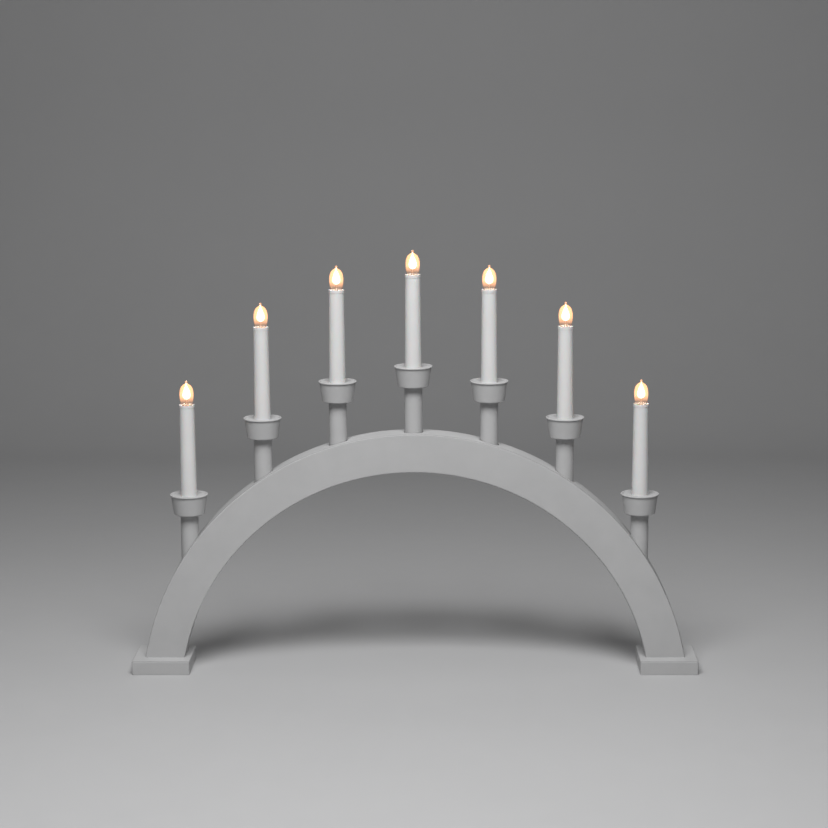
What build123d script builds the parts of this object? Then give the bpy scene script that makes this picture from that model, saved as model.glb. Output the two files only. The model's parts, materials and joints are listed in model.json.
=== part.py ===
from build123d import *
import math
import os

# A seven-light electric candle arch of painted wood.
# The bow is a flat arc on two square feet. Each light is a vertical stem in a bored
# seat, a turned cup on the stem's shoulder, a plastic candle on the stem's peg and a
# small screw bulb in the lampholder at the candle's top. The lamps are wired in series
# through the bored stems and a covered groove in the bow's underside.
# Frame: millimetres, +X to the right, +Y to the back, +Z up. The origin lies on the
# table, midway between the feet.

# Bow
bow_outer_radius = 272.0
bow_thickness = 38.0
bow_depth = 30.0
bow_centre_drop = 32.5
bow_edge_round = 1.0

# Feet and the screws that hold the legs to them
foot_width = 57.0
foot_depth = 58.0
foot_height = 14.0
foot_overhang = 12.0
foot_edge_round = 1.2
foot_base_round = 0.5
screw_spacing = 16.0
screw_length = 38.0
screw_shank_radius = 1.9
screw_head_radius = 3.9
screw_head_height = 2.2
screw_head_land = 0.3
screw_recess = 1.0
screw_point_length = 3.0
screw_cross_width = 0.9
screw_cross_span = 4.4
screw_cross_depth = 1.3

# Stems: the end lights' distance in from the legs' outer faces, and the length that shows
# above the bow, from each end light to the middle one
end_light_inset = 45.4
end_stem_shows = 33.5
third_stem_shows = 38.5
second_stem_shows = 41.0
middle_stem_shows = 45.4
stem_radius = 8.8
stem_bore_radius = 4.1
stem_end_chamfer = 0.5
seat_clearance = 0.75
seat_depth = 16.0
tenon_radius = 6.0
tenon_length = 6.0
peg_radius = 6.25
candle_grip = 12.0

# Cups
cup_height = 20.2
cup_foot_radius = 15.2
cup_neck_radius = 17.8
cup_rim_radius = 18.8
cup_lip_height = 1.5
cup_lip_round = 0.6
cup_foot_chamfer = 0.8
cup_rim_width = 1.2
cup_dish_depth = 1.4
cup_dish_radius = 16.4

# Candles: plastic tubes with a thickened lip
candle_length = 91.0
candle_foot_radius = 8.15
candle_neck_radius = 7.35
candle_lip_radius = 7.6
candle_lip_height = 3.0
candle_lip_round = 0.2
candle_bore_radius = 6.4

# Lampholders, sunk in the candle's lip
holder_recess = 2.0
holder_flange_radius = 6.9
holder_radius = 6.3
holder_length = 22.0
holder_floor = 2.2
holder_skirt_bore = 5.1
socket_wall = 0.25
socket_flange_radius = 5.8
socket_flange_height = 0.4
socket_floor_gap = 0.5
socket_ring_bore = 3.9
contact_head_radius = 2.2
contact_head_height = 0.8
rivet_radius = 0.8
lug_radius = 0.6
lug_offset = 4.4
tab_thickness = 0.5
tab_gap = 1.4
tab_width = 5.2

# Screw thread of the bulbs, right-handed
thread_pitch = 1.814
thread_major_radius = 4.75
thread_depth = 0.5
thread_root_width = 0.95
thread_crest_width = 0.45
thread_clearance = 0.2
thread_sink = 0.1
cap_thread_start = 2.7
cap_thread_length = 5.6
socket_thread_start = 1.6
socket_thread_length = 7.4

# Bulbs, measured up from the solder button at the bottom
bulb_seat_height = 12.0
bulb_shows = 23.6
cap_base = 1.4
cap_top = 10.3
cap_wall = 0.35
cap_base_bore = 2.75
glass_wall = 0.5
glass_neck_base = 8.2
glass_shoulder_height = 12.4
glass_shoulder_radius = 5.85
glass_belly_height = 22.0
glass_belly_radius = 6.85
glass_taper_height = 28.5
glass_taper_radius = 5.7
glass_pip_radius = 1.1
glass_pip_height = 2.8
glass_stem_radius = 1.9
glass_stem_top_radius = 1.5
glass_stem_height = 7.0
insulator_base = 0.7
insulator_height = 1.7
insulator_radius = 3.75
insulator_nose_radius = 2.1
button_radius = 1.6
button_shank_radius = 0.9
lead_radius = 0.22
lead_offset = 0.9
lead_spread = 2.5
lead_bend_radius = 0.9
lead_rise = 4.5
lead_tail = 3.6
filament_radius = 0.42
filament_length = 3.4

# Wiring: single insulated wires in the covered groove
groove_width = 8.0
groove_depth = 9.0
cover_thickness = 1.6
duct_radius = 3.5
wire_radius = 0.8
wire_offset = 1.6
wire_plane = 1.7
wire_bend_radius = 4.5
wire_run = 32.0
splice_radius = 1.45
splice_length = 10.0
splice_rise = 6.0
inlet_height = 44.0
inlet_radius = 3.5

# Clearances shared by the fits
glue_gap = 0.1
hair_gap = 0.05
cut_overrun = 2.0

# How far the bulb's outline leans out at its foot and still rises at its tip
glass_lean_share = 0.125
glass_close_share = 0.375

# The largest fillet is this share of the two runs beside a corner of a wire, and a turn
# of fewer degrees than the least bend counts as straight
run_share = 0.45
least_bend = 2.0

bow_inner_radius = bow_outer_radius - bow_thickness
groove_radius = bow_inner_radius + groove_depth
cover_radius = bow_inner_radius + cover_thickness
wire_path_radius = (groove_radius + cover_radius) / 2
thread_core_radius = thread_major_radius - thread_depth
socket_bore_radius = thread_major_radius + thread_clearance
socket_radius = socket_bore_radius + socket_wall


def height_on_circle(radius, x):
    """Height above the table of a circle about the bow's centre, at x."""
    return math.sqrt(radius**2 - x**2) - bow_centre_drop


def reach_on_circle(radius, z):
    """Distance from the middle of a circle about the bow's centre, at height z."""
    return math.sqrt(radius**2 - (z + bow_centre_drop) ** 2)


def on_bow(radius, angle, y=0.0):
    """A point at an angle in degrees about the bow's centre, from +X."""
    turn = math.radians(angle)
    return Vector(radius * math.cos(turn), y, radius * math.sin(turn) - bow_centre_drop)


leg_outer_x = reach_on_circle(bow_outer_radius, foot_height)
leg_inner_x = reach_on_circle(bow_inner_radius, foot_height)
foot_x = leg_outer_x + foot_overhang - foot_width / 2
leg_x = (leg_outer_x + leg_inner_x) / 2
inlet_angle = 180 - math.degrees(math.asin((inlet_height + bow_centre_drop) / wire_path_radius))


class Light:
    """The levels of one light, from its seat in the bow up to its bulb."""

    def __init__(self, number, x, stem_shows):
        self.number = number
        self.x = x
        self.bow_top = height_on_circle(bow_outer_radius, x)
        self.seat = self.bow_top - seat_depth
        self.tenon_end = self.seat - tenon_length
        self.cup_base = self.bow_top + stem_shows
        self.dish = self.cup_base + cup_height - cup_dish_depth
        self.peg_top = self.dish + candle_grip
        self.candle_top = self.dish + candle_length
        self.bulb_base = self.candle_top - bulb_seat_height
        self.socket_floor = self.bulb_base - hair_gap - contact_head_height
        self.terminal = self.socket_floor - holder_floor - tab_thickness
        self.angle = math.degrees(math.atan2(self.tenon_end + bow_centre_drop, x))


stem_shows_in_order = [
    end_stem_shows,
    third_stem_shows,
    second_stem_shows,
    middle_stem_shows,
    second_stem_shows,
    third_stem_shows,
    end_stem_shows,
]
middle_place = (len(stem_shows_in_order) - 1) / 2
light_spacing = (leg_outer_x - end_light_inset) / middle_place
lights = []
for place, stem_shows in enumerate(stem_shows_in_order):
    lights.append(Light(place + 1, (place - middle_place) * light_spacing, stem_shows))
first_light = lights[0]
middle_light = lights[len(lights) // 2]
last_light = lights[-1]

os.makedirs("parts", exist_ok=True)


def save(piece, label):
    """Label a finished piece and write it."""
    piece.part.label = label
    export_step(piece.part, f"parts/{label}.step")


def bow_sector(inner, outer, start, end):
    """A flat ring sector about the bow's centre, in the bow's middle plane."""
    centre = (0, -bow_centre_drop)
    with BuildSketch(Plane.XZ) as sector:
        with BuildLine():
            low = CenterArc(centre, inner, start, end - start)
            high = CenterArc(centre, outer, start, end - start)
            Line(low @ 0, high @ 0)
            Line(low @ 1, high @ 1)
        make_face()
    return sector.sketch


def turned_profile(*points):
    """A closed profile of (radius, height) points, ready to turn about +Z."""
    with BuildSketch(Plane.XZ) as profile:
        with BuildLine():
            Polyline(*points, close=True)
        make_face()
    return profile.sketch


# The groove reaches from below the cord inlet to just past the last light
groove_spare = math.degrees(2 * duct_radius / wire_path_radius)
groove_start = last_light.angle - groove_spare
groove_end = inlet_angle + groove_spare


def duct_plane(light):
    """The plane in the groove where a light's wire duct starts, facing the seat."""
    return Plane(
        origin=on_bow(wire_path_radius, light.angle),
        x_dir=(0, 1, 0),
        z_dir=on_bow(wire_path_radius, light.angle) - on_bow(0, 0),
    )


def screw_profile(gap, below):
    """Half the outline of a countersunk screw, widened by a gap, head down."""
    head = screw_head_radius + gap
    shank = screw_shank_radius + gap
    neck = screw_recess + screw_head_height
    return turned_profile(
        (0, screw_recess - below),
        (head, screw_recess - below),
        (head, screw_recess + screw_head_land),
        (shank, neck),
        (shank, screw_length - screw_point_length),
        (0, screw_length + gap),
    )


screw_places = []
for side in (-1, 1):
    for row in (-1, 1):
        screw_places.append((side * leg_x, row * screw_spacing / 2, 0))

with BuildPart() as screw_hole:
    revolve(screw_profile(hair_gap, screw_recess + cut_overrun), axis=Axis.Z)


# Bow
with BuildPart() as bow:
    with BuildSketch(Plane.XZ):
        with Locations((0, -bow_centre_drop)):
            Circle(bow_outer_radius)
            Circle(bow_inner_radius, mode=Mode.SUBTRACT)
        with Locations((0, foot_height)):
            Rectangle(
                2 * bow_outer_radius,
                bow_outer_radius,
                align=(Align.CENTER, Align.MIN),
                mode=Mode.INTERSECT,
            )
    extrude(amount=bow_depth / 2, both=True)
    fillet(bow.edges().filter_by(GeomType.CIRCLE), bow_edge_round)
    extrude(
        bow_sector(bow_inner_radius - cut_overrun, groove_radius, groove_start, groove_end),
        amount=groove_width / 2,
        both=True,
        mode=Mode.SUBTRACT,
    )
    for light in lights:
        with BuildSketch(Plane.XY.offset(light.seat)):
            with Locations((light.x, 0)):
                Circle(stem_radius + seat_clearance)
        extrude(amount=bow_thickness, mode=Mode.SUBTRACT)
        with BuildSketch(Plane.XY.offset(light.tenon_end)):
            with Locations((light.x, 0)):
                Circle(tenon_radius + glue_gap)
        extrude(amount=tenon_length, mode=Mode.SUBTRACT)
        duct = duct_plane(light)
        seat_end = Vector(light.x, 0, light.tenon_end)
        with BuildSketch(duct):
            Circle(duct_radius)
        extrude(amount=(seat_end - duct.origin).length + duct_radius, mode=Mode.SUBTRACT)
    with BuildSketch(Plane.XZ.offset(-bow_depth / 2)):
        with Locations((-reach_on_circle(wire_path_radius, inlet_height), inlet_height)):
            Circle(inlet_radius)
    extrude(amount=bow_depth / 2, mode=Mode.SUBTRACT)
    with Locations(*screw_places):
        add(screw_hole.part, mode=Mode.SUBTRACT)
save(bow, "bow")

# Feet
for side, label in ((-1, "foot_left"), (1, "foot_right")):
    with BuildPart() as foot:
        with BuildSketch():
            with Locations((side * foot_x, 0)):
                Rectangle(foot_width, foot_depth)
        extrude(amount=foot_height)
        fillet(foot.edges().filter_by(Axis.Z), foot_edge_round)
        fillet(foot.edges().group_by(Axis.Z)[-1], foot_edge_round)
        fillet(foot.edges().group_by(Axis.Z)[0], foot_base_round)
        with Locations(*screw_places):
            add(screw_hole.part, mode=Mode.SUBTRACT)
    save(foot, label)

with BuildPart() as screw:
    revolve(screw_profile(0, 0), axis=Axis.Z)
    with BuildSketch(Plane.XY.offset(screw_recess)):
        Rectangle(screw_cross_span, screw_cross_width)
        Rectangle(screw_cross_width, screw_cross_span)
    extrude(amount=screw_cross_depth, mode=Mode.SUBTRACT)

with BuildPart() as foot_screws:
    with Locations(*screw_places):
        add(screw.part)
save(foot_screws, "foot_screws")

# The strip that closes the groove, flush with the bow's underside
with BuildPart() as groove_cover:
    end_gap = math.degrees(glue_gap / bow_inner_radius)
    extrude(
        bow_sector(bow_inner_radius, cover_radius, groove_start + end_gap, groove_end - end_gap),
        amount=groove_width / 2 - glue_gap,
        both=True,
    )
save(groove_cover, "groove_cover")


# Stems and cups
def make_stem(light):
    """A dowel with a tenon below, a shoulder under the cup and a peg for the candle."""
    with BuildPart() as stem:
        with BuildSketch(Plane.XY.offset(light.tenon_end)):
            with Locations((light.x, 0)):
                Circle(tenon_radius)
        extrude(amount=tenon_length)
        with BuildSketch(Plane.XY.offset(light.seat)):
            with Locations((light.x, 0)):
                Circle(stem_radius)
        extrude(amount=light.cup_base - light.seat)
        with BuildSketch(Plane.XY.offset(light.cup_base)):
            with Locations((light.x, 0)):
                Circle(peg_radius)
        extrude(amount=light.peg_top - light.cup_base)
        chamfer(stem.edges().group_by(Axis.Z)[-1], stem_end_chamfer)
        with BuildSketch(Plane.XY.offset(light.tenon_end)):
            with Locations((light.x, 0)):
                Circle(stem_bore_radius)
        extrude(amount=light.peg_top - light.tenon_end, mode=Mode.SUBTRACT)
    return stem


lip_base = cup_height - cup_lip_height
dish_floor = cup_height - cup_dish_depth
with BuildPart() as cup_blank:
    revolve(
        turned_profile(
            (peg_radius + glue_gap, 0),
            (cup_foot_radius - cup_foot_chamfer, 0),
            (cup_foot_radius, cup_foot_chamfer),
            (cup_neck_radius, lip_base),
            (cup_rim_radius, lip_base),
            (cup_rim_radius, cup_height),
            (cup_rim_radius - cup_rim_width, cup_height),
            (cup_dish_radius, dish_floor),
            (peg_radius + glue_gap, dish_floor),
        ),
        axis=Axis.Z,
    )
    rim_edges = cup_blank.edges().filter_by(GeomType.CIRCLE)
    outer_rim = rim_edges.filter_by(lambda edge: edge.radius > cup_rim_radius - hair_gap)
    fillet(outer_rim, cup_lip_round)

for light in lights:
    save(make_stem(light), f"stem_{light.number}")
    with BuildPart() as cup:
        with Locations((light.x, 0, light.cup_base)):
            add(cup_blank.part)
    save(cup, f"cup_{light.number}")

# Candles
lip_foot = candle_length - candle_lip_height
with BuildPart() as candle_blank:
    revolve(
        turned_profile(
            (candle_bore_radius, 0),
            (candle_foot_radius, 0),
            (candle_neck_radius, lip_foot),
            (candle_lip_radius, lip_foot),
            (candle_lip_radius, candle_length),
            (holder_flange_radius + glue_gap, candle_length),
            (holder_flange_radius + glue_gap, lip_foot),
            (candle_bore_radius, lip_foot),
        ),
        axis=Axis.Z,
    )
    round_edges = candle_blank.edges().filter_by(GeomType.CIRCLE)
    lip_edges = round_edges.filter_by(lambda edge: abs(edge.radius - candle_lip_radius) < hair_gap)
    fillet(lip_edges, candle_lip_round)

for light in lights:
    with BuildPart() as candle:
        with Locations((light.x, 0, light.dish)):
            add(candle_blank.part)
    save(candle, f"candle_{light.number}")

# Lampholders, drawn from the bulb's base level: a moulded cup with a skirt below
holder_top = bulb_seat_height - holder_recess
socket_floor = -hair_gap - contact_head_height
holder_base = holder_top - holder_length
flange_base = bulb_seat_height - candle_lip_height
socket_base = socket_floor + socket_floor_gap
with BuildPart() as holder_blank:
    revolve(
        turned_profile(
            (0, socket_floor),
            (socket_radius + glue_gap, socket_floor),
            (socket_radius + glue_gap, holder_top),
            (holder_flange_radius, holder_top),
            (holder_flange_radius, flange_base),
            (holder_radius, flange_base),
            (holder_radius, holder_base),
            (holder_skirt_bore, holder_base),
            (holder_skirt_bore, socket_floor - holder_floor),
            (0, socket_floor - holder_floor),
        ),
        axis=Axis.Z,
    )
    with BuildSketch(Plane.XY.offset(socket_floor - holder_floor)):
        Circle(rivet_radius + hair_gap)
        with Locations((lug_offset, 0)):
            Circle(lug_radius + hair_gap)
    extrude(amount=holder_floor, mode=Mode.SUBTRACT)

light_places = [(light.x, 0, light.bulb_base) for light in lights]
with BuildPart() as lampholders:
    with Locations(*light_places):
        add(holder_blank.part)
save(lampholders, "lampholders")


def helical_ridge(base_radius, crest_radius, start, length, turn_from=0.0):
    """A right-handed trapezoid ridge that winds up from a start height."""
    half_root = thread_root_width / 2
    half_crest = thread_crest_width / 2
    with BuildPart() as ridge:
        with BuildLine():
            Helix(thread_pitch, length, base_radius, center=(0, 0, start + half_root))
        with BuildSketch(Plane.XZ):
            with BuildLine():
                Polyline(
                    (base_radius, start),
                    (base_radius, start + 2 * half_root),
                    (crest_radius, start + half_root + half_crest),
                    (crest_radius, start + half_root - half_crest),
                    close=True,
                )
            make_face()
        sweep(is_frenet=True)
    return ridge.part.rotate(Axis.Z, turn_from)


# Socket: a threaded brass shell with a solder lug, and the centre contact. Its ridge lies
# half a pitch from the cap's.
pitches_apart = (socket_thread_start - cap_thread_start) / thread_pitch
with BuildPart() as socket_blank:
    revolve(
        turned_profile(
            (socket_ring_bore, socket_base),
            (socket_radius, socket_base),
            (socket_radius, holder_top),
            (socket_flange_radius, holder_top),
            (socket_flange_radius, holder_top + socket_flange_height),
            (socket_bore_radius, holder_top + socket_flange_height),
            (socket_bore_radius, socket_base + socket_flange_height),
            (socket_ring_bore, socket_base + socket_flange_height),
        ),
        axis=Axis.Z,
    )
    add(
        helical_ridge(
            socket_bore_radius + thread_sink,
            thread_core_radius + thread_clearance,
            socket_thread_start,
            socket_thread_length,
            360 * (pitches_apart - 1 / 2),
        )
    )
    with BuildSketch(Plane.XY.offset(socket_floor - holder_floor)):
        with Locations((lug_offset, 0)):
            Circle(lug_radius)
    extrude(amount=holder_floor + socket_floor_gap)
    with BuildSketch(Plane.XY.offset(socket_floor - holder_floor - tab_thickness)):
        with Locations((tab_gap, 0)):
            Rectangle(2 * wire_offset - tab_gap, tab_width, align=(Align.MIN, Align.CENTER))
        with Locations((tab_gap, 0)):
            Rectangle(lug_offset - tab_gap, 2 * lug_radius, align=(Align.MIN, Align.CENTER))
    extrude(amount=tab_thickness)

with BuildPart() as socket_shells:
    with Locations(*light_places):
        add(socket_blank.part)
save(socket_shells, "socket_shells")

with BuildPart() as contact_blank:
    with BuildSketch(Plane.XY.offset(socket_floor)):
        Circle(contact_head_radius)
    extrude(amount=contact_head_height)
    with BuildSketch(Plane.XY.offset(socket_floor - holder_floor)):
        Circle(rivet_radius)
    extrude(amount=holder_floor)
    with BuildSketch(Plane.XY.offset(socket_floor - holder_floor - tab_thickness)):
        with Locations((rivet_radius - tab_gap / 2, 0)):
            Rectangle(2 * wire_offset, tab_width, align=(Align.MAX, Align.CENTER))
    extrude(amount=tab_thickness)

with BuildPart() as socket_contacts:
    with Locations(*light_places):
        add(contact_blank.part)
save(socket_contacts, "socket_contacts")

# Bulb cap: a threaded brass shell
with BuildPart() as cap_blank:
    revolve(
        turned_profile(
            (cap_base_bore, cap_base),
            (thread_core_radius, cap_base),
            (thread_core_radius, cap_top),
            (thread_core_radius - cap_wall, cap_top),
            (thread_core_radius - cap_wall, cap_base + cap_wall),
            (cap_base_bore, cap_base + cap_wall),
        ),
        axis=Axis.Z,
    )
    add(
        helical_ridge(
            thread_core_radius - thread_sink,
            thread_major_radius,
            cap_thread_start,
            cap_thread_length,
        )
    )

# Bulb base: the glass insulator and the solder button that meets the centre contact
with BuildPart() as base_blank:
    revolve(
        turned_profile(
            (button_shank_radius + hair_gap, insulator_base),
            (insulator_nose_radius, insulator_base),
            (cap_base_bore - hair_gap, cap_base),
            (cap_base_bore - hair_gap, cap_base + cap_wall + hair_gap),
            (insulator_radius, cap_base + cap_wall + hair_gap),
            (insulator_radius, insulator_base + insulator_height),
            (button_shank_radius + hair_gap, insulator_base + insulator_height),
        ),
        axis=Axis.Z,
    )
    dome_height = insulator_base - hair_gap
    dome_radius = (button_radius**2 + dome_height**2) / (2 * dome_height)
    dome_angle = math.degrees(math.asin(button_radius / dome_radius))
    with BuildSketch(Plane.XZ):
        with BuildLine():
            dome = CenterArc((0, dome_radius), dome_radius, -90, dome_angle)
            Polyline(
                dome @ 1,
                (button_shank_radius, dome_height),
                (button_shank_radius, insulator_base + insulator_height),
                (0, insulator_base + insulator_height),
                dome @ 0,
            )
        make_face()
    revolve(axis=Axis.Z)

# Bulb glass: a hollow flame-shaped envelope with its lead seal rising inside the neck
neck_radius = thread_core_radius - cap_wall - hair_gap
glass_top = bulb_seat_height + bulb_shows
pip_base = glass_top - glass_pip_height
with BuildPart() as glass_blank:
    with BuildSketch(Plane.XZ):
        with BuildLine():
            outside = Spline(
                (glass_shoulder_radius, glass_shoulder_height),
                (glass_belly_radius, glass_belly_height),
                (glass_taper_radius, glass_taper_height),
                (glass_pip_radius, pip_base),
                tangents=((glass_lean_share, 1), (-1, glass_close_share)),
            )
            Line(outside @ 0, (neck_radius, cap_top))
            pip_side = glass_top - glass_pip_radius
            Line(outside @ 1, (glass_pip_radius, pip_side))
            CenterArc((0, pip_side), glass_pip_radius, 0, 90)
            Line((0, glass_top), (0, pip_base - glass_wall))
            inner_shoulder = (glass_shoulder_radius - glass_wall, glass_shoulder_height)
            Spline(
                inner_shoulder,
                (glass_belly_radius - glass_wall, glass_belly_height),
                (glass_taper_radius - glass_wall, glass_taper_height - glass_wall / 2),
                (0, pip_base - glass_wall),
                tangents=((glass_lean_share, 1), (-1, 0)),
            )
            Polyline(
                inner_shoulder,
                (neck_radius - glass_wall, cap_top),
                (glass_stem_radius, glass_neck_base + glass_wall),
                (glass_stem_top_radius, glass_neck_base + glass_stem_height),
                (0, glass_neck_base + glass_stem_height),
                (0, glass_neck_base),
                (neck_radius, glass_neck_base),
                (neck_radius, cap_top),
            )
        make_face()
    revolve(axis=Axis.Z)
    with BuildSketch(Plane.XY.offset(glass_neck_base)):
        with Locations((-lead_offset, 0), (lead_offset, 0)):
            Circle(lead_radius + hair_gap)
    extrude(amount=glass_stem_height, mode=Mode.SUBTRACT)

# Filament on its two leads, which pass down through the seal
seal_top = glass_neck_base + glass_stem_height
filament_height = seal_top + lead_rise
with BuildPart() as filament_blank:
    with BuildLine() as leads:
        FilletPolyline(
            (-lead_offset, 0, glass_neck_base - lead_tail),
            (-lead_offset, 0, seal_top + lead_bend_radius),
            (-lead_spread, 0, filament_height),
            (lead_spread, 0, filament_height),
            (lead_offset, 0, seal_top + lead_bend_radius),
            (lead_offset, 0, glass_neck_base - lead_tail),
            radius=lead_bend_radius,
        )
    with BuildSketch(Plane(origin=leads.line @ 0, z_dir=leads.line % 0)):
        Circle(lead_radius)
    sweep()
    with BuildSketch(Plane.YZ.offset(-filament_length / 2)):
        with Locations((0, filament_height)):
            Circle(filament_radius)
    extrude(amount=filament_length)

bulb_blanks = {
    "bulb_glass": glass_blank,
    "bulb_cap": cap_blank,
    "bulb_filament": filament_blank,
    "bulb_contact": base_blank,
}
for light in lights:
    for label, blank in bulb_blanks.items():
        with BuildPart() as bulb_piece:
            with Locations((light.x, 0, light.bulb_base)):
                add(blank.part)
        save(bulb_piece, f"{label}_{light.number}")


# Wiring
def groove_points(start, end, y):
    """Points along the groove's middle, evenly spaced from one angle to another."""
    span = math.radians(abs(end - start)) * wire_path_radius
    steps = max(1, round(span / wire_run))
    return [
        on_bow(wire_path_radius, start + (end - start) * step / steps, y)
        for step in range(steps + 1)
    ]


def bends_only(points):
    """The points without those where the wire runs straight on."""
    kept = points[:1]
    for corner, after in zip(points[1:], points[2:]):
        if (corner - kept[-1]).get_angle(after - corner) > least_bend:
            kept.append(corner)
    return kept + points[-1:]


def corner_radii(points):
    """A radius for each corner: as large as its runs allow, tight at the ducts."""
    radii = []
    for before, corner, after in zip(points, points[1:], points[2:]):
        turn = math.radians((corner - before).get_angle(after - corner))
        run = min((corner - before).length, (after - corner).length)
        largest = run_share * run / math.tan(turn / 2)
        gentle = wire_run / 2 < run and largest > wire_run
        radii.append(largest if gentle else min(wire_bend_radius, largest))
    return radii


def make_wire(points):
    """A round insulated wire along straight runs and tangent arcs."""
    points = bends_only(points)
    with BuildPart() as wire:
        with BuildLine() as route:
            FilletPolyline(*points, radius=corner_radii(points))
        with BuildSketch(Plane(origin=route.line @ 0, z_dir=route.line % 0)):
            Circle(wire_radius)
        sweep()
    length = route.wire().length
    ratio = wire.part.volume / (math.pi * wire_radius**2 * length)
    print(f"wire {length:.0f} mm, volume over section times length {ratio:.4f}")
    return wire.part


def up_the_stem(light, offset, y):
    """The corner below a stem's bore and the terminal above it."""
    return [
        Vector(light.x + offset, y, light.tenon_end),
        Vector(light.x + offset, y, light.terminal),
    ]


# A wire lies one offset to the side of the duct's axis that it leaves by
side_step = math.degrees(wire_offset / wire_path_radius)
link_parts = []
for light, next_light in zip(lights, lights[1:]):
    away = up_the_stem(light, wire_offset, -wire_plane)[::-1]
    along = groove_points(light.angle - side_step, next_light.angle + side_step, -wire_plane)
    home = up_the_stem(next_light, -wire_offset, -wire_plane)
    link_parts.append(make_wire(away + along + home))
with BuildPart() as link_wires:
    for link in link_parts:
        add(link)
save(link_wires, "link_wires")

splice_end = inlet_angle - math.degrees((splice_rise + splice_length) / wire_path_radius)
feed_points = groove_points(splice_end, first_light.angle + side_step, -wire_plane)
feed_points += up_the_stem(first_light, -wire_offset, -wire_plane)
return_points = groove_points(splice_end, last_light.angle + side_step, wire_plane)
return_points += up_the_stem(last_light, wire_offset, wire_plane)
with BuildPart() as supply_wires:
    add(make_wire(feed_points))
    add(make_wire(return_points))
save(supply_wires, "supply_wires")

# Crimp splices, where the cord's two leads meet the inner wires
with BuildPart() as lead_splices:
    for points in (feed_points, return_points):
        splice_plane = Plane(origin=points[0], z_dir=points[0] - points[1])
        with BuildSketch(splice_plane):
            Circle(splice_radius)
        extrude(amount=splice_length)
save(lead_splices, "lead_splices")

turns_to_release = (socket_thread_start + socket_thread_length - cap_thread_start) / thread_pitch
print(f"overall height {middle_light.bulb_base + glass_top:.1f}")
print(f"turns to release a bulb {turns_to_release:.2f}")
for light in lights:
    print(f"light {light.number}: x {light.x:.3f}, bulb base {light.bulb_base:.3f}")
print(f"cord inlet x {-reach_on_circle(wire_path_radius, inlet_height):.3f}, z {inlet_height}")
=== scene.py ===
# %% [markdown]
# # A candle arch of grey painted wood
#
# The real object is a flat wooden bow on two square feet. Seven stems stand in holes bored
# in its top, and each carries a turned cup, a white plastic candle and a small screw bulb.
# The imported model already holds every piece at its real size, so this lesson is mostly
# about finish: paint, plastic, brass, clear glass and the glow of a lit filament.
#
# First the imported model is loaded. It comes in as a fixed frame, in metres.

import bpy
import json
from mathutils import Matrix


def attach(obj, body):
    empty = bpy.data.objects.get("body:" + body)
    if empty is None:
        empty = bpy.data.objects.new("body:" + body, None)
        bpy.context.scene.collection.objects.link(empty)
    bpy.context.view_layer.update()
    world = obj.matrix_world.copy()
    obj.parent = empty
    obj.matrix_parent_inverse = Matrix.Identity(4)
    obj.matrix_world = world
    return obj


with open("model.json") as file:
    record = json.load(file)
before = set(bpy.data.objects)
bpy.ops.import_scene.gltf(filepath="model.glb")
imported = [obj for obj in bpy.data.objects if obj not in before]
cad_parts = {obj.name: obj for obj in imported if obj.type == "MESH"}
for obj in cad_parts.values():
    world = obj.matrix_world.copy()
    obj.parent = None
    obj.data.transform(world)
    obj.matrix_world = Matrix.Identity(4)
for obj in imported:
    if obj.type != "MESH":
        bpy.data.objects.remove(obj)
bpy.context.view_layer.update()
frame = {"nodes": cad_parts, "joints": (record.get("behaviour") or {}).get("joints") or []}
nodes = frame["nodes"]

# %% Other tools of the lesson
import json
import math

import bmesh
import bpy
from mathutils import Matrix, Vector

scene = bpy.context.scene
light_numbers = range(1, 8)
print("Blender", bpy.app.version_string, "and", len(light_numbers), "lights")

# %% [markdown]
# ## The camera
#
# The photograph was taken with a long lens from a little above, looking slightly down. A
# long lens keeps the upright candles almost parallel. The camera is built from three turns:
# the heading about the vertical, the tilt down, and a small roll about the line of sight.
# Matrices multiplied in that order say this more plainly than one set of Euler angles. An
# unturned camera looks straight down, so the tilt is counted from the turn that levels it.

# %% Camera at the photograph's place
camera_place = Vector((0.0417, -2.0926, 0.6385))
camera_heading = 1.128
camera_level_turn = 90.0
camera_tilt_down = 10.325
camera_roll = -0.336
camera_lens = 94.33


def turned(degrees, axis):
    """A turn about one axis, as a matrix of four rows and columns."""
    return Matrix.Rotation(math.radians(degrees), 4, axis)


camera_data = bpy.data.cameras.new("camera")
camera_data.lens = camera_lens
camera = bpy.data.objects.new("camera", camera_data)
scene.collection.objects.link(camera)
heading = turned(camera_heading, "Z")
tilt = turned(camera_level_turn - camera_tilt_down, "X")
roll = turned(camera_roll, "Z")
camera.matrix_world = Matrix.Translation(camera_place) @ heading @ tilt @ roll
scene.camera = camera
print("camera", [round(value, 3) for value in camera.matrix_world.translation])

# %% [markdown]
# ## The studio
#
# A studio sweep is one sheet of paper: a floor that curves up into a wall with no corner,
# so that no line crosses the picture. Here it is a strip of faces drawn along a profile,
# which gives the curve a known radius. It isn't part of the object.

# %% Sweep of pale paper
sweep_width = 7.0
sweep_front = -3.2
sweep_back = 1.55
sweep_radius = 0.5
sweep_top = 3.2
sweep_steps = 24


def sweep_profile():
    """Points of the paper's side view: floor, quarter circle, wall."""
    points = [(sweep_front, 0.0)]
    for step in range(sweep_steps + 1):
        turn = math.pi / 2 * step / sweep_steps
        y = sweep_back - sweep_radius + sweep_radius * math.sin(turn)
        points.append((y, sweep_radius - sweep_radius * math.cos(turn)))
    points.append((sweep_back, sweep_top))
    return points


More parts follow.
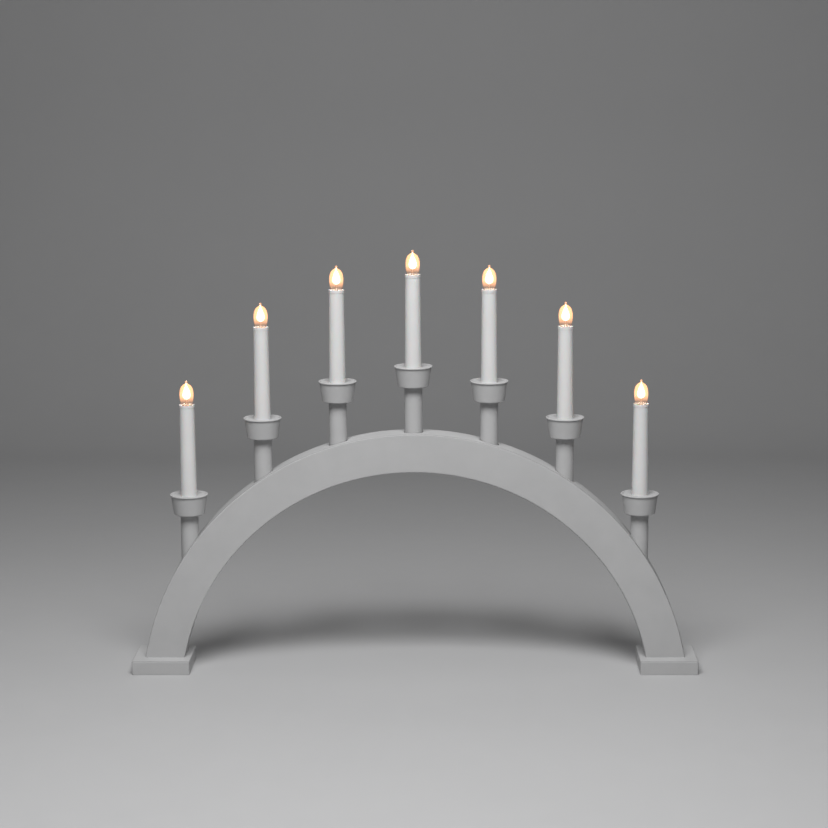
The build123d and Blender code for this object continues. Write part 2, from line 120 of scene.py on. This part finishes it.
def make_sweep():
    """The paper as one smooth strip."""
    mesh = bmesh.new()
    rows = []
    for y, z in sweep_profile():
        rows.append([mesh.verts.new((side * sweep_width / 2, y, z)) for side in (-1, 1)])
    for low, high in zip(rows, rows[1:]):
        face = mesh.faces.new((low[0], low[1], high[1], high[0]))
        face.smooth = True
    data = bpy.data.meshes.new("paper_sweep")
    mesh.to_mesh(data)
    mesh.free()
    return bpy.data.objects.new("paper_sweep", data)


paper_sweep = make_sweep()
scene.collection.objects.link(paper_sweep)
print("sweep faces", len(paper_sweep.data.polygons))

# %% [markdown]
# Soft light in the photograph comes from above and in front: the cups throw a short dark
# band on their stems, and the bow throws a wide soft shadow on the floor behind it. One
# wide panel gives both. A second, weaker panel stands near the camera and lifts the front
# faces. A third hangs behind, faces forward and keeps the back and the shadows from going
# black, and the dim world colour fills what none of them reaches.

# %% Studio lights
key_place = Vector((-0.03, -0.8, 1.35))
key_width = 1.0
key_height = 0.6
key_power = 27.0
fill_place = Vector((0.1, -2.6, 0.9))
fill_width = 1.4
fill_height = 1.0
fill_power = 1.0
back_place = Vector((0.0, 0.9, 1.6))
back_width = 1.4
back_height = 0.5
back_power = 1.2
light_target = Vector((0.0, -0.15, 0.05))
room_grey = (0.5, 0.5, 0.505, 1)
room_strength = 0.015


def add_panel(name, place, width, height, power):
    """A light panel that faces the candle arch."""
    data = bpy.data.lights.new(name, "AREA")
    data.shape = "RECTANGLE"
    data.size = width
    data.size_y = height
    data.energy = power
    panel = bpy.data.objects.new(name, data)
    panel.location = place
    panel.rotation_euler = (light_target - place).to_track_quat("-Z", "Y").to_euler()
    scene.collection.objects.link(panel)


add_panel("key_panel", key_place, key_width, key_height, key_power)
add_panel("fill_panel", fill_place, fill_width, fill_height, fill_power)
add_panel("back_panel", back_place, back_width, back_height, back_power)
world = bpy.data.worlds.new("studio")
world.use_nodes = True
background = world.node_tree.nodes["Background"]
background.inputs["Color"].default_value = room_grey
background.inputs["Strength"].default_value = room_strength
scene.world = world
scene.view_settings.view_transform = "Standard"
print("panels", key_power, "W,", fill_power, "W and", back_power, "W")

# %% [markdown]
# ## Effects that several finishes share
#
# Grain, sprayed paint and rubbed edges each turn up in more than one material, so each is
# made once as a shader node group with named sockets. A group puts out colours and numbers
# that change over the surface. The shader itself stays in the material, where its plain
# values can be read.

# %% Groups and links
FLOAT = "NodeSocketFloat"
COLOUR = "NodeSocketColor"
VECTOR = "NodeSocketVector"


def new_group(name, inputs, outputs):
    """A shader node group with its sockets, its input node and its output node."""
    group = bpy.data.node_groups.new(name, "ShaderNodeTree")
    for label, kind, value in inputs:
        socket = group.interface.new_socket(label, in_out="INPUT", socket_type=kind)
        socket.default_value = value
    for label, kind in outputs:
        group.interface.new_socket(label, in_out="OUTPUT", socket_type=kind)
    return group, group.nodes.new("NodeGroupInput"), group.nodes.new("NodeGroupOutput")


def wire(tree, source, target):
    """Link one socket to another."""
    tree.links.new(source, target)


print("kinds of group socket", FLOAT, COLOUR, VECTOR)

# %% [markdown]
# A node is made, set and linked in the same way each time, so a few helpers do it in one
# line. Each takes plain numbers or other nodes' sockets and gives back what comes next.
# The first few read the surface, and the others reshape a value that was read.

# %% Nodes that read a surface
def feed(tree, target, value):
    """Link a socket to the target, or set the target where the value is plain."""
    if isinstance(value, bpy.types.NodeSocket):
        wire(tree, value, target)
    else:
        target.default_value = value


def coordinates(tree, kind):
    """Texture coordinates of one kind."""
    return tree.nodes.new("ShaderNodeTexCoord").outputs[kind]


def noise_node(tree, vector, scale, detail, roughness=0.5):
    """A noise texture read at a vector."""
    node = tree.nodes.new("ShaderNodeTexNoise")
    feed(tree, node.inputs["Scale"], scale)
    node.inputs["Detail"].default_value = detail
    node.inputs["Roughness"].default_value = roughness
    wire(tree, vector, node.inputs["Vector"])
    return node


print("surface helpers ready")

# %% Nodes that reshape a value
def math_node(tree, operation, first, second=0.0):
    """A math node on two sockets or numbers; its value socket is given back."""
    node = tree.nodes.new("ShaderNodeMath")
    node.operation = operation
    feed(tree, node.inputs[0], first)
    feed(tree, node.inputs[1], second)
    return node.outputs[0]


def scale_node(tree, vector, factor):
    """A colour or a vector multiplied by one number socket."""
    node = tree.nodes.new("ShaderNodeVectorMath")
    node.operation = "SCALE"
    feed(tree, node.inputs[0], vector)
    wire(tree, factor, node.inputs["Scale"])
    return node.outputs[0]


def range_node(tree, value, low, high, new_low=0.0, new_high=1.0):
    """A value carried from one range to another and held inside it."""
    node = tree.nodes.new("ShaderNodeMapRange")
    limits = {"From Min": low, "From Max": high, "To Min": new_low, "To Max": new_high}
    for label, limit in limits.items():
        feed(tree, node.inputs[label], limit)
    wire(tree, value, node.inputs["Value"])
    return node.outputs["Result"]


print("value helpers ready")

# %% [markdown]
# **Sprayed paint.** A matt spray coat isn't quite even. It is a shade lighter or darker from
# hand to hand, it has a fine skin like orange peel, and its sheen varies where the coat is
# thin. A coarse noise and a cloudy one give the tone, the cloudy one also gives the sheen,
# and a fine noise gives the skin. A noise seldom leaves the middle of its range, so the
# limits below are those that it really reaches, alone or with the second noise added.

# %% Group for sprayed paint
plain_grey = (0.4, 0.4, 0.4, 1)
tone_scale = 9.0
tone_detail = 3.0
cloud_scale = 42.0
cloud_detail = 4.0
cloud_roughness = 0.6
skin_detail = 2.0
cloud_low = 0.35
cloud_high = 0.65
tone_and_cloud_low = 0.7
tone_and_cloud_high = 1.3

paint_group, given, result = new_group(
    "Sprayed Paint",
    [
        ("Colour", COLOUR, plain_grey),
        ("Tone Spread", FLOAT, 0.04),
        ("Skin Scale", FLOAT, 900.0),
        ("Sheen Low", FLOAT, 0.5),
        ("Sheen High", FLOAT, 0.62),
    ],
    [("Colour", COLOUR), ("Roughness", FLOAT), ("Skin", FLOAT)],
)
place = coordinates(paint_group, "Object")
tone = noise_node(paint_group, place, tone_scale, tone_detail)
cloud = noise_node(paint_group, place, cloud_scale, cloud_detail, cloud_roughness)
skin = noise_node(paint_group, place, given.outputs["Skin Scale"], skin_detail)
mixed = math_node(paint_group, "ADD", tone.outputs["Fac"], cloud.outputs["Fac"])
above = math_node(paint_group, "ADD", 1.0, given.outputs["Tone Spread"])
below = math_node(paint_group, "SUBTRACT", 1.0, given.outputs["Tone Spread"])
gain = range_node(paint_group, mixed, tone_and_cloud_low, tone_and_cloud_high, below, above)
shade = scale_node(paint_group, given.outputs["Colour"], gain)
dullest = given.outputs["Sheen High"]
glossiest = given.outputs["Sheen Low"]
sheen = range_node(
    paint_group, cloud.outputs["Fac"], cloud_low, cloud_high, glossiest, dullest
)
wire(paint_group, shade, result.inputs["Colour"])
wire(paint_group, sheen, result.inputs["Roughness"])
wire(paint_group, skin.outputs["Fac"], result.inputs["Skin"])
print(paint_group.name, len(paint_group.nodes), "nodes")

# %% [markdown]
# **Grain under paint.** Paint fills wood grain but doesn't quite hide it: long shallow lines
# still run with the fibres. A noise that is stretched along the fibres and packed tight
# across them gives those lines, and a second, slower noise makes them waver. The same group
# makes the fine rings that a lathe leaves on a turned cup, stretched round the piece and
# packed along its axis.

# %% Group for stretched lines
waver_scale = 14.0
waver_detail = 2.0
lines_scale = 1.0
lines_detail = 3.0
lines_roughness = 0.65


def vector_node(tree, operation, first, second):
    """A vector math node on two vector sockets; the node is given back."""
    node = tree.nodes.new("ShaderNodeVectorMath")
    node.operation = operation
    wire(tree, first, node.inputs[0])
    wire(tree, second, node.inputs[1])
    return node


lines_group, given, result = new_group(
    "Stretched Lines",
    [
        ("Packing", VECTOR, (6.0, 260.0, 260.0)),
        ("Waver", FLOAT, 0.35),
    ],
    [("Lines", FLOAT)],
)
place = coordinates(lines_group, "Object")
waver = noise_node(lines_group, place, waver_scale, waver_detail)
drift = scale_node(lines_group, waver.outputs["Color"], given.outputs["Waver"])
packed = vector_node(lines_group, "MULTIPLY", place, given.outputs["Packing"])
moved = vector_node(lines_group, "ADD", packed.outputs[0], drift)
lines = noise_node(lines_group, moved.outputs[0], lines_scale, lines_detail, lines_roughness)
wire(lines_group, lines.outputs["Fac"], result.inputs["Lines"])
print(lines_group.name, len(lines_group.nodes), "nodes")

# %% [markdown]
# ** Rubbed edges and painted shade.** Paint draws back from a sharp edge and hands polish it there. The bevel
# node rounds the normal near an edge, so where the rounded normal and the true normal no
# longer agree, an edge is near. That gives a thin mask that needs no extra geometry.
#
# On a board the small rounding itself also shows in the normal: it points neither straight
# to the front or back nor straight across, so y * (1 - y) picks it out. That is a quarter
# at most, and a gain of four takes it to one. Where the rounding faces up, the light from
# above draws a bright line on it, so painted shade darkens it there. The mask follows the
# normal's upward part.

# %% Group for rubbed edges and painted shade
edge_samples = 4
edge_first_agreement = 0.99
edge_full_agreement = 0.8
corner_full_rise = 0.7
corner_gain = 4.0

edge_wear_and_shade_group, given, result = new_group(
    "Rubbed Edges And Painted Shade",
    [
        ("Reach", FLOAT, 0.0012),
        ("Lighter", FLOAT, 0.1),
        ("Corner Loss", FLOAT, 0.0),
        ("Colour", COLOUR, plain_grey),
    ],
    [("Colour", COLOUR)],
)
rounded = edge_wear_and_shade_group.nodes.new("ShaderNodeBevel")
rounded.samples = edge_samples
wire(edge_wear_and_shade_group, given.outputs["Reach"], rounded.inputs["Radius"])
normal = edge_wear_and_shade_group.nodes.new("ShaderNodeNewGeometry").outputs["Normal"]
agree = vector_node(edge_wear_and_shade_group, "DOT_PRODUCT", rounded.outputs["Normal"], normal)
edge = range_node(
    edge_wear_and_shade_group, agree.outputs["Value"], edge_first_agreement, edge_full_agreement
)
lift = math_node(edge_wear_and_shade_group, "MULTIPLY", edge, given.outputs["Lighter"])
normal_parts = edge_wear_and_shade_group.nodes.new("ShaderNodeSeparateXYZ")
wire(edge_wear_and_shade_group, normal, normal_parts.inputs["Vector"])
to_front = math_node(edge_wear_and_shade_group, "ABSOLUTE", normal_parts.outputs["Y"])
away = math_node(edge_wear_and_shade_group, "SUBTRACT", 1.0, to_front)
rounding = math_node(edge_wear_and_shade_group, "MULTIPLY", to_front, away)
upward = range_node(
    edge_wear_and_shade_group, normal_parts.outputs["Z"], 0.0, corner_full_rise, 0.0, corner_gain
)
corner = math_node(edge_wear_and_shade_group, "MULTIPLY", rounding, upward)
# Painted shade: a board's rounding that faces up is darkened against the bright line that the
# light draws on it.
painted_shade_loss = math_node(edge_wear_and_shade_group, "MULTIPLY", corner, given.outputs["Corner Loss"])
lifted = math_node(edge_wear_and_shade_group, "ADD", lift, 1.0)
gain = math_node(edge_wear_and_shade_group, "SUBTRACT", lifted, painted_shade_loss)
shade = scale_node(edge_wear_and_shade_group, given.outputs["Colour"], gain)
wire(edge_wear_and_shade_group, shade, result.inputs["Colour"])
print(edge_wear_and_shade_group.name, len(edge_wear_and_shade_group.nodes), "nodes")

# %% [markdown]
# Each finish below is made in the same few moves: a new material, the shared groups with
# their own values, bump laid over bump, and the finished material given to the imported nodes
# that it belongs to. A helper for each move keeps the finishes themselves short.

# %% Helpers for materials
def new_material(name):
    """A material with one Principled BSDF; both are given back."""
    material = bpy.data.materials.new(name)
    material.use_nodes = True
    return material, material.node_tree.nodes["Principled BSDF"]


def use_group(tree, group, **values):
    """Place a group in a tree, with its values given as words with underscores."""
    node = tree.nodes.new("ShaderNodeGroup")
    node.node_tree = group
    for label, value in values.items():
        node.inputs[label.replace("_", " ")].default_value = value
    return node


def add_bump(tree, shader, height, distance, strength=1.0, under=None):
    """Bump from a height socket, laid over another bump if one is given."""
    bump = tree.nodes.new("ShaderNodeBump")
    bump.inputs["Distance"].default_value = distance
    bump.inputs["Strength"].default_value = strength
    wire(tree, height, bump.inputs["Height"])
    if under is not None:
        wire(tree, under.outputs["Normal"], bump.inputs["Normal"])
    wire(tree, bump.outputs["Normal"], shader.inputs["Normal"])
    return bump


def each_light(kind):
    """Names of one kind of piece at all seven lights."""
    return [f"{kind}_{number}" for number in light_numbers]


def give_material(material, names):
    """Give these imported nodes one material."""
    for name in names:
        data = nodes[name].data
        data.materials.clear()
        data.materials.append(material)


print("material helpers ready")

# %% [markdown]
# ## Grey paint
#
# Bow and feet are cut from boards, with the grain along the length of the arch. Stems are
# dowels, so their grain is upright. Cups are turned, so theirs shows as fine rings. The
# three share one builder, which puts the paint over the lines and the rubbed edges over the
# paint. The greys are nearly one, because the whole stand is sprayed in one go. Only the
# boards have long upper corners, where the light from above draws a bright line, so only
# they get painted shade there.

# %% Painted wood
bow_grey = (0.425, 0.425, 0.427, 1)
stem_grey = (0.42, 0.42, 0.422, 1)
cup_grey = (0.425, 0.425, 0.427, 1)
board_packing = (7.0, 300.0, 300.0)
dowel_packing = (420.0, 420.0, 9.0)
turned_packing = (14.0, 14.0, 1500.0)
grain_depth = 0.00005
ring_depth = 0.00003
skin_depth = 0.00002
edge_lift = 0.02
# Painted shade on the boards' upper rounding, against the bright line that the light draws
# there.
board_painted_corner_shade = 0.4
paint_gloss_level = 0.35


def painted_wood(name, grey, packing, line_depth, painted_corner_shade=0.0):
    """Matt grey paint over wood whose fine lines run one way, with painted shade on upward
    corners where asked.
    """
    material, shader = new_material(name)
    tree = material.node_tree
    paint = use_group(tree, paint_group, Colour=grey)
    edges = use_group(tree, edge_wear_and_shade_group, Lighter=edge_lift, Corner_Loss=painted_corner_shade)
    lines_under = use_group(tree, lines_group, Packing=packing)
    wire(tree, paint.outputs["Colour"], edges.inputs["Colour"])
    wire(tree, edges.outputs["Colour"], shader.inputs["Base Color"])
    wire(tree, paint.outputs["Roughness"], shader.inputs["Roughness"])
    shader.inputs["Specular IOR Level"].default_value = paint_gloss_level
    under = add_bump(tree, shader, lines_under.outputs["Lines"], line_depth)
    add_bump(tree, shader, paint.outputs["Skin"], skin_depth, under=under)
    return material


board_paint = painted_wood(
    "grey_paint_on_board", bow_grey, board_packing, grain_depth, board_painted_corner_shade
)
dowel_paint = painted_wood("grey_paint_on_dowel", stem_grey, dowel_packing, grain_depth)
turned_paint = painted_wood("grey_paint_on_turning", cup_grey, turned_packing, ring_depth)
give_material(board_paint, ["bow", "foot_left", "foot_right", "groove_cover"])
give_material(dowel_paint, each_light("stem"))
give_material(turned_paint, each_light("cup"))
print("painted", board_paint.name, dowel_paint.name, turned_paint.name)

# %% [markdown]
# ## White plastic
#
# The candles are moulded tubes with a satin skin. Thin white plastic lets a little light
# through, so a small amount of subsurface scattering softens the shading and lets the lip
# glow round the bulb. Flow in the mould leaves long faint streaks, which are the same
# stretched lines again, set upright and very shallow. The lampholders inside the candles
# are the same plastic, a shade warmer and duller. A sheen is given as its lowest and
# highest roughness.

# %% Moulded plastic
candle_white = (0.65, 0.648, 0.645, 1)
candle_sheen = (0.34, 0.42)
holder_white = (0.78, 0.77, 0.74, 1)
holder_sheen = (0.42, 0.5)
plastic_tone_spread = 0.015
plastic_skin_scale = 1400.0
plastic_skin_strength = 0.5
flow_packing = (160.0, 160.0, 5.0)
flow_depth = 0.00002
plastic_scatter_share = 0.12
plastic_scatter_reach = 0.0025


def moulded_plastic(name, white, sheen):
    """Satin white plastic with faint upright flow lines."""
    sheen_low, sheen_high = sheen
    material, shader = new_material(name)
    tree = material.node_tree
    skin_coat = use_group(
        tree,
        paint_group,
        Colour=white,
        Tone_Spread=plastic_tone_spread,
        Skin_Scale=plastic_skin_scale,
        Sheen_Low=sheen_low,
        Sheen_High=sheen_high,
    )
    flow = use_group(tree, lines_group, Packing=flow_packing)
    wire(tree, skin_coat.outputs["Colour"], shader.inputs["Base Color"])
    wire(tree, skin_coat.outputs["Roughness"], shader.inputs["Roughness"])
    shader.inputs["Subsurface Weight"].default_value = plastic_scatter_share
    shader.inputs["Subsurface Scale"].default_value = plastic_scatter_reach
    under = add_bump(tree, shader, flow.outputs["Lines"], flow_depth)
    skin_height = skin_coat.outputs["Skin"]
    add_bump(tree, shader, skin_height, skin_depth, plastic_skin_strength, under)
    return material


candle_plastic = moulded_plastic("white_candle_plastic", candle_white, candle_sheen)
holder_plastic = moulded_plastic("lampholder_plastic", holder_white, holder_sheen)
give_material(candle_plastic, each_light("candle"))
give_material(holder_plastic, ["lampholders"])
print("moulded", candle_plastic.name, holder_plastic.name)

# %% [markdown]
# The wires lie hidden in the groove and the bored stems. Their white sleeves are soft
# plastic, so they get the moulded finish with its own tone and a duller sheen.

# %% Wire sleeves
sleeve_white = (0.8, 0.8, 0.77, 1)
sleeve_sheen = (0.5, 0.6)

sleeve_plastic = moulded_plastic("wire_sleeve", sleeve_white, sleeve_sheen)
give_material(sleeve_plastic, ["link_wires", "supply_wires"])
print("sleeves", sleeve_plastic.name)

# %% [markdown]
# ## Metals
#
# Brass caps and sockets, zinc screws and crimped sleeves are small and mostly hidden, but a
# bulb that is unscrewed shows its brass thread. Metal in use is never one tone: it has
# clouds of tarnish, and its roughness follows the tarnish. One builder makes all three.
# Each has a bright and a dull tone, and a roughness for either.

# %% Small metal pieces
brass_tones = ((0.83, 0.61, 0.27, 1), (0.52, 0.36, 0.16, 1))
brass_roughness = (0.24, 0.45)
zinc_tones = ((0.66, 0.68, 0.7, 1), (0.44, 0.45, 0.46, 1))
zinc_roughness = (0.3, 0.5)
crimp_tones = ((0.74, 0.74, 0.75, 1), (0.5, 0.5, 0.5, 1))
crimp_roughness = (0.32, 0.52)
tarnish_scale = 700.0
tarnish_detail = 4.0
tarnish_roughness = 0.6
tarnish_from = 0.4
tarnish_full = 0.7
drawn_packing = (90.0, 90.0, 5200.0)
drawn_depth = 0.00001


def mix_node(tree, first, second, factor):
    """Two plain colours mixed by a factor socket."""
    node = tree.nodes.new("ShaderNodeMix")
    node.data_type = "RGBA"
    node.inputs["A"].default_value = first
    node.inputs["B"].default_value = second
    wire(tree, factor, node.inputs["Factor"])
    return node.outputs["Result"]


def drawn_metal(name, tones, roughness):
    """Drawn or plated metal with clouds of tarnish and fine drawing lines."""
    material, shader = new_material(name)
    tree = material.node_tree
    place = coordinates(tree, "Object")
    tarnish = noise_node(tree, place, tarnish_scale, tarnish_detail, tarnish_roughness)
    cover = range_node(tree, tarnish.outputs["Fac"], tarnish_from, tarnish_full)
    wire(tree, mix_node(tree, *tones, cover), shader.inputs["Base Color"])
    wire(tree, range_node(tree, cover, 0.0, 1.0, *roughness), shader.inputs["Roughness"])
    shader.inputs["Metallic"].default_value = 1.0
    drawn = use_group(tree, lines_group, Packing=drawn_packing)
    add_bump(tree, shader, drawn.outputs["Lines"], drawn_depth)
    return material


brass = drawn_metal("drawn_brass", brass_tones, brass_roughness)
zinc = drawn_metal("zinc_plate", zinc_tones, zinc_roughness)
crimp = drawn_metal("crimp_sleeve", crimp_tones, crimp_roughness)
give_material(brass, ["socket_shells", "socket_contacts"])
give_material(brass, each_light("bulb_cap"))
give_material(zinc, ["foot_screws"])
give_material(crimp, ["lead_splices"])
print("metals", brass.name, zinc.name, crimp.name)

# %% [markdown]
# The foot of each bulb is black glass over a solder button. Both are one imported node, so
# the material tells them apart by height: the button is the domed third at the bottom.
# Generated coordinates run from 0 to 1 over a piece's own box, which makes such shares easy.

# %% Bulb foot: solder button under black glass
solder_tone = (0.55, 0.55, 0.57, 1)
black_glass_tone = (0.02, 0.02, 0.022, 1)
button_top_share = 0.34
speckle_scale = 30.0
speckle_detail = 3.0
noise_limits = (0.3, 0.7)
foot_roughness = (0.15, 0.4)


def height_share(tree):
    """How far up its own box a point of the piece lies, from 0 to 1."""
    parts = tree.nodes.new("ShaderNodeSeparateXYZ")
    wire(tree, coordinates(tree, "Generated"), parts.inputs["Vector"])
    return parts.outputs["Z"]


bulb_foot, shader = new_material("solder_and_black_glass")
tree = bulb_foot.node_tree
button = math_node(tree, "LESS_THAN", height_share(tree), button_top_share)
foot_tone = mix_node(tree, black_glass_tone, solder_tone, button)
wire(tree, foot_tone, shader.inputs["Base Color"])
wire(tree, button, shader.inputs["Metallic"])
place = coordinates(tree, "Generated")
speckle = noise_node(tree, place, speckle_scale, speckle_detail)
foot_sheen = range_node(tree, speckle.outputs["Fac"], *noise_limits, *foot_roughness)
wire(tree, foot_sheen, shader.inputs["Roughness"])
give_material(bulb_foot, each_light("bulb_contact"))
print("bulb feet", bulb_foot.name)

# %% [markdown]
# ## Lit bulbs
#
# A lit filament is so bright that the picture shows a white flame inside the bulb, with a
# peach-coloured rim where the glass bends the light. Three things make that here: the
# filament itself, a flame-shaped glow round it, and a faint warm light in the clear glass,
# which fades out towards the cap. The glass is so thin that its walls are never quite even,
# and a shallow ripple shows that. It lets shadow rays through, so the glow lights the
# candle's lip without noise.

# %% Clear glass with a warm rim
glass_tint = (1.0, 0.985, 0.96, 1)
glass_roughness = 0.02
glass_ior = 1.45
glass_warmth = (1.0, 0.44, 0.19)
glass_warmth_strength = 0.42
glass_glow_from_share = 0.2
glass_glow_full_share = 0.45
glass_glow_low_share = 0.08
ripple_scale = 5.0
ripple_detail = 1.0
ripple_depth = 0.00004

clear_glass, shader = new_material("clear_bulb_glass")
tree = clear_glass.node_tree
shader.inputs["Base Color"].default_value = glass_tint
shader.inputs["Roughness"].default_value = glass_roughness
shader.inputs["IOR"].default_value = glass_ior
shader.inputs["Transmission Weight"].default_value = 1.0
shader.inputs["Emission Strength"].default_value = glass_warmth_strength
fade_ends = (glass_glow_from_share, glass_glow_full_share)
rise = range_node(tree, height_share(tree), *fade_ends, glass_glow_low_share)
wire(tree, scale_node(tree, glass_warmth, rise), shader.inputs["Emission Color"])
place = coordinates(tree, "Generated")
ripple = noise_node(tree, place, ripple_scale, ripple_detail)
add_bump(tree, shader, ripple.outputs["Fac"], ripple_depth)
give_material(clear_glass, each_light("bulb_glass"))
for name in each_light("bulb_glass"):
    nodes[name].visible_shadow = False
print("glass", clear_glass.name)

# %% [markdown]
# Only the coil at the top of the filament is hot. Its two leads stay dark, so the emission
# is faded in over the filament's height. The wire itself is grey metal with a fine grain,
# which only its roughness shows.

# %% Hot filament
filament_colour = (1.0, 0.62, 0.3)
filament_strength = 6.0
coil_from_share = 0.85
coil_full_share = 0.95
filament_grey = (0.3, 0.3, 0.32, 1)
filament_grain_scale = 2600.0
filament_grain_detail = 1.0
filament_roughness = (0.3, 0.55)

hot_filament, shader = new_material("hot_filament")
tree = hot_filament.node_tree
shader.inputs["Base Color"].default_value = filament_grey
shader.inputs["Metallic"].default_value = 1.0
shader.inputs["Emission Strength"].default_value = filament_strength
place = coordinates(tree, "Object")
grain = noise_node(tree, place, filament_grain_scale, filament_grain_detail)
filament_sheen = range_node(
    tree, grain.outputs["Fac"], *noise_limits, *filament_roughness
)
wire(tree, filament_sheen, shader.inputs["Roughness"])
heat = range_node(tree, height_share(tree), coil_from_share, coil_full_share)
wire(tree, scale_node(tree, filament_colour, heat), shader.inputs["Emission Color"])
give_material(hot_filament, each_light("bulb_filament"))
print("filaments", hot_filament.name)

# %% [markdown]
# The glow is a flame: round below, widest at a quarter of its height and drawn out to a
# point. The curve t**a * (1 - t)**b has just that shape, and its widest place is at
# a / (a + b), so the outline needs only two exponents. It is turned round the bulb's axis
# in rings, which crowd towards the bottom, where the outline turns fastest.

# %% Shape of the glow
glow_base = 0.0172
glow_tip = 0.0345
glow_radius = 0.0039
glow_round_power = 0.6
glow_point_power = 1.8
glow_rings = 28
glow_ring_crowding = 1.4
glow_sides = 32


def flame_radius(rise_share):
    """Radius of the flame at a share of its height."""
    widest_share = glow_round_power / (glow_round_power + glow_point_power)
    low = (rise_share / widest_share) ** glow_round_power
    high = ((1 - rise_share) / (1 - widest_share)) ** glow_point_power
    return glow_radius * low * high


def make_flame():
    """The flame as a closed mesh, with its origin at the foot of the bulb."""
    mesh = bmesh.new()
    foot = mesh.verts.new((0, 0, glow_base))
    tip = mesh.verts.new((0, 0, glow_tip))
    rings = []
    for ring in range(1, glow_rings):
        rise_share = (ring / glow_rings) ** glow_ring_crowding
        z = glow_base + (glow_tip - glow_base) * rise_share
        radius = flame_radius(rise_share)
        turns = [2 * math.pi * side / glow_sides for side in range(glow_sides)]
        points = [(radius * math.cos(turn), radius * math.sin(turn), z) for turn in turns]
        rings.append([mesh.verts.new(point) for point in points])
    for low, high in zip(rings, rings[1:]):
        for side in range(glow_sides):
            after = (side + 1) % glow_sides
            mesh.faces.new((low[side], low[after], high[after], high[side]))
    for side in range(glow_sides):
        after = (side + 1) % glow_sides
        mesh.faces.new((foot, rings[0][after], rings[0][side]))
        mesh.faces.new((tip, rings[-1][side], rings[-1][after]))
    for face in mesh.faces:
        face.smooth = True
    data = bpy.data.meshes.new("bulb_glow")
    mesh.to_mesh(data)
    mesh.free()
    return data


flame_mesh = make_flame()
print("flame", len(flame_mesh.polygons), "faces")

# %% [markdown]
# The glow's own light flickers between two warm whites. Each bulb gets one copy of the
# flame, set on the axis that the bulb turns about, so it rises and turns with its glass.

# %% Light of the glow
glow_white = (1.0, 0.83, 0.7, 1)
glow_pale_white = (1.0, 0.86, 0.75, 1)
glow_body_tone = (0.9, 0.7, 0.5, 1)
glow_strength = 1.7
flicker_scale = 260.0
flicker_detail = 2.0

bulb_glow, shader = new_material("bulb_glow")
tree = bulb_glow.node_tree
flicker = noise_node(tree, coordinates(tree, "Object"), flicker_scale, flicker_detail)
flame_tone = mix_node(tree, glow_white, glow_pale_white, flicker.outputs["Fac"])
wire(tree, flame_tone, shader.inputs["Emission Color"])
shader.inputs["Base Color"].default_value = glow_body_tone
shader.inputs["Emission Strength"].default_value = glow_strength

flame_mesh.materials.append(bulb_glow)
joints = {joint["name"]: joint for joint in frame["joints"]}
for number in light_numbers:
    glow = bpy.data.objects.new(f"bulb_glow_{number}", flame_mesh)
    glow.location = joints[f"bulb_{number}_turn"]["pos_m"]
    scene.collection.objects.link(glow)
    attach(glow, f"bulb_{number}")
print("glows", len(light_numbers))

# %% [markdown]
# ## Paper of the sweep
#
# The floor is plain pale paper. It gets only a breath of tone and fibre, so that it stays
# quiet behind the object. Seen from behind, the paper is clear, so that a camera that
# stands beyond the wall still sees the object.

# %% Paper finish
paper_tone = (0.435, 0.435, 0.439, 1)
paper_tone_spread = 0.01
paper_skin_scale = 500.0
paper_sheen_low = 0.6
paper_sheen_high = 0.7
paper_gloss_level = 0.2

paper_finish, shader = new_material("studio_paper")
tree = paper_finish.node_tree
paper = use_group(
    tree,
    paint_group,
    Colour=paper_tone,
    Tone_Spread=paper_tone_spread,
    Skin_Scale=paper_skin_scale,
    Sheen_Low=paper_sheen_low,
    Sheen_High=paper_sheen_high,
)
wire(tree, paper.outputs["Colour"], shader.inputs["Base Color"])
wire(tree, paper.outputs["Roughness"], shader.inputs["Roughness"])
shader.inputs["Specular IOR Level"].default_value = paper_gloss_level
behind = tree.nodes.new("ShaderNodeNewGeometry").outputs["Backfacing"]
wire(tree, math_node(tree, "SUBTRACT", 1.0, behind), shader.inputs["Alpha"])
paper_sweep.data.materials.append(paper_finish)
print("paper", paper_finish.name)
